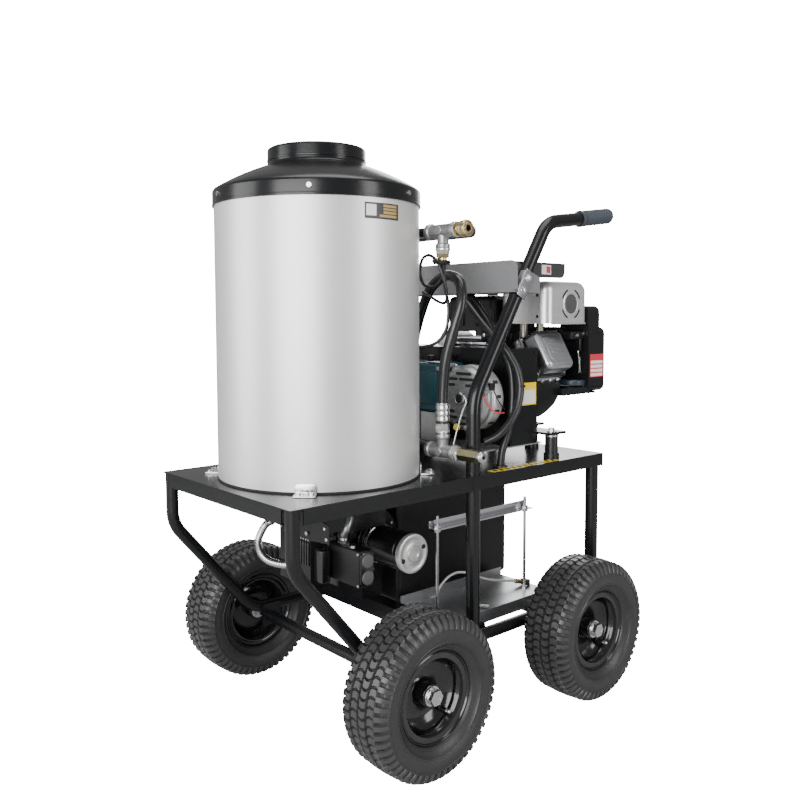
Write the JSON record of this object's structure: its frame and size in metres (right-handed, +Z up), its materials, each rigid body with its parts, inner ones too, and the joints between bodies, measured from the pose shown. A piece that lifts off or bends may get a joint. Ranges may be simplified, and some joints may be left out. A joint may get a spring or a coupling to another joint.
{
  "type": "pressure washer",
  "caption": "Hot-water pressure washer on a four-wheeled cart: coil tank with a domed lid, oil burner, twin-cylinder engine, belt-driven pump and two long handles.",
  "frame": {"origin": "centre of the footprint, on the ground under the four tyres", "axes": "+Z up; +X towards the engine and the handles, -X towards the coil tank; the side with the hose outlet and the battery tray is -Y"},
  "size_m": [1.04, 0.764, 1.268],
  "materials": {
    "tank_steel": "satin silver sheet steel",
    "frame_black": "satin black powder coat",
    "rim_black": "gloss black paint",
    "tyre_rubber": "dark grey moulded rubber",
    "grip_rubber": "slate grey ribbed rubber",
    "hose_rubber": "black rubber",
    "cable_black": "black braided sleeve",
    "belt_rubber": "black V-belt",
    "zinc": "zinc plated",
    "bright_steel": "bright steel",
    "tray_steel": "grey sheet steel",
    "grey_paint": "mid grey powder coat",
    "brass": "brass and yellow zinc",
    "aluminium": "cast aluminium",
    "heat_shield_steel": "pressed bright steel",
    "engine_metal": "dark cast aluminium",
    "exhaust_steel": "heat-browned steel",
    "pump_teal": "deep blue-green paint",
    "motor_black": "black paint",
    "machined_iron": "machined iron and steel",
    "plastic_black": "black moulded plastic",
    "key_steel": "nickel plated"
  },
  "bodies": {
    "machine": {"tank_jacket": "tank_steel", "front_deck": "frame_black", "rear_deck": "frame_black", "left_side_rail": "frame_black", "right_side_rail": "frame_black", "left_upright": "frame_black", "right_upright": "frame_black", "rear_legs": "frame_black", "cross_beams": "frame_black", "tank_lid": "frame_black", "engine_plate": "frame_black", "belt_guard": "frame_black", "burner_housing": "frame_black", "handle_grips": "grip_rubber", "pressure_hose": "hose_rubber", "isolators": "hose_rubber", "cable_looms": "cable_black", "drive_belts": "belt_rubber", "zinc_brackets": "zinc", "fasteners": "zinc", "battery_holddown": "zinc", "axles": "bright_steel", "wheel_bearings": "bright_steel", "heating_coil": "bright_steel", "battery_tray": "tray_steel", "console": "grey_paint", "drive_base": "grey_paint", "ignition_box": "grey_paint", "pipe_fittings": "brass", "relief_valve": "brass", "pump_head": "brass", "alternator": "aluminium", "motor_end_cap": "aluminium", "valve_covers": "aluminium", "muffler_shield": "heat_shield_steel", "engine_block": "engine_metal", "exhaust": "exhaust_steel", "pump_body": "pump_teal", "burner_motor": "motor_black", "fuel_tank": "plastic_black", "blower_shroud": "plastic_black", "air_cleaner": "plastic_black"},
    "front_left_wheel": {"front_left_tyre": "tyre_rubber", "front_left_rim": "rim_black"},
    "front_right_wheel": {"front_right_tyre": "tyre_rubber", "front_right_rim": "rim_black"},
    "rear_left_wheel": {"rear_left_tyre": "tyre_rubber", "rear_left_rim": "rim_black"},
    "rear_right_wheel": {"rear_right_tyre": "tyre_rubber", "rear_right_rim": "rim_black"},
    "coupler_sleeve": {"coupler_sleeve": "brass"},
    "fuel_cap": {"fuel_cap": "plastic_black"},
    "crankshaft": {"crank_pulley": "machined_iron"},
    "pump_shaft": {"pump_pulley": "machined_iron"},
    "alternator_rotor": {"alternator_pulley": "machined_iron"},
    "burner_fan": {"burner_fan": "machined_iron"},
    "unloader_knob": {"unloader_knob": "plastic_black"},
    "thermostat_knob": {"thermostat_knob": "plastic_black"},
    "ignition_key": {"ignition_key": "key_steel"},
    "burner_switch": {"burner_switch": "plastic_black"}
  },
  "joints": [
    {"name": "front_left_wheel_spin", "type": "hinge", "parent": "machine", "child": "front_left_wheel", "pos_m": [-0.2555, -0.321, 0.165], "axis": [0, 1, 0], "continuous": true},
    {"name": "front_right_wheel_spin", "type": "hinge", "parent": "machine", "child": "front_right_wheel", "pos_m": [-0.2555, 0.321, 0.165], "axis": [0, 1, 0], "continuous": true},
    {"name": "rear_left_wheel_spin", "type": "hinge", "parent": "machine", "child": "rear_left_wheel", "pos_m": [0.2766, -0.321, 0.165], "axis": [0, 1, 0], "continuous": true},
    {"name": "rear_right_wheel_spin", "type": "hinge", "parent": "machine", "child": "rear_right_wheel", "pos_m": [0.2766, 0.321, 0.165], "axis": [0, 1, 0], "continuous": true},
    {"name": "crank_spin", "type": "hinge", "parent": "machine", "child": "crankshaft", "pos_m": [0.18, 0, 0.718], "axis": [1, 0, 0], "continuous": true},
    {"name": "pump_spin", "type": "hinge", "parent": "machine", "child": "pump_shaft", "pos_m": [0.18, 0.112, 0.735], "axis": [1, 0, 0], "continuous": true},
    {"name": "alternator_spin", "type": "hinge", "parent": "machine", "child": "alternator_rotor", "pos_m": [0.218, -0.146, 0.716], "axis": [1, 0, 0], "continuous": true},
    {"name": "burner_fan_spin", "type": "hinge", "parent": "machine", "child": "burner_fan", "pos_m": [-0.115, 0.04, 0.376], "axis": [0, 1, 0], "continuous": true},
    {"name": "coupler_sleeve_slide", "type": "slide", "parent": "machine", "child": "coupler_sleeve", "axis": [0, 1, 0], "range_m": [0, 0.006], "stiffness_N_per_m": 900, "springref_m": -0.003},
    {"name": "fuel_cap_turn", "type": "hinge", "parent": "machine", "child": "fuel_cap", "pos_m": [0.33, 0.185, 0.573], "axis": [0, 0, 1], "range_deg": [0, 90]},
    {"name": "unloader_turn", "type": "hinge", "parent": "machine", "child": "unloader_knob", "pos_m": [0.098, 0.236, 0.746], "axis": [0, 1, 0], "range_deg": [-180, 180]},
    {"name": "thermostat_turn", "type": "hinge", "parent": "machine", "child": "thermostat_knob", "pos_m": [0.228, -0.11, 0.998], "axis": [1, 0, 0], "range_deg": [-270, 0]},
    {"name": "key_turn", "type": "hinge", "parent": "machine", "child": "ignition_key", "pos_m": [0.228, 0, 0.998], "axis": [1, 0, 0], "range_deg": [-80, 0]},
    {"name": "burner_switch_rock", "type": "hinge", "parent": "machine", "child": "burner_switch", "pos_m": [0.228, 0.1, 0.998], "axis": [0, 1, 0], "range_deg": [-10, 10]}
  ],
  "couplings": [
    {"joint": "pump_spin", "follows": "crank_spin", "ratio": 0.462},
    {"joint": "alternator_spin", "follows": "crank_spin", "ratio": 1.1587}
  ]
}
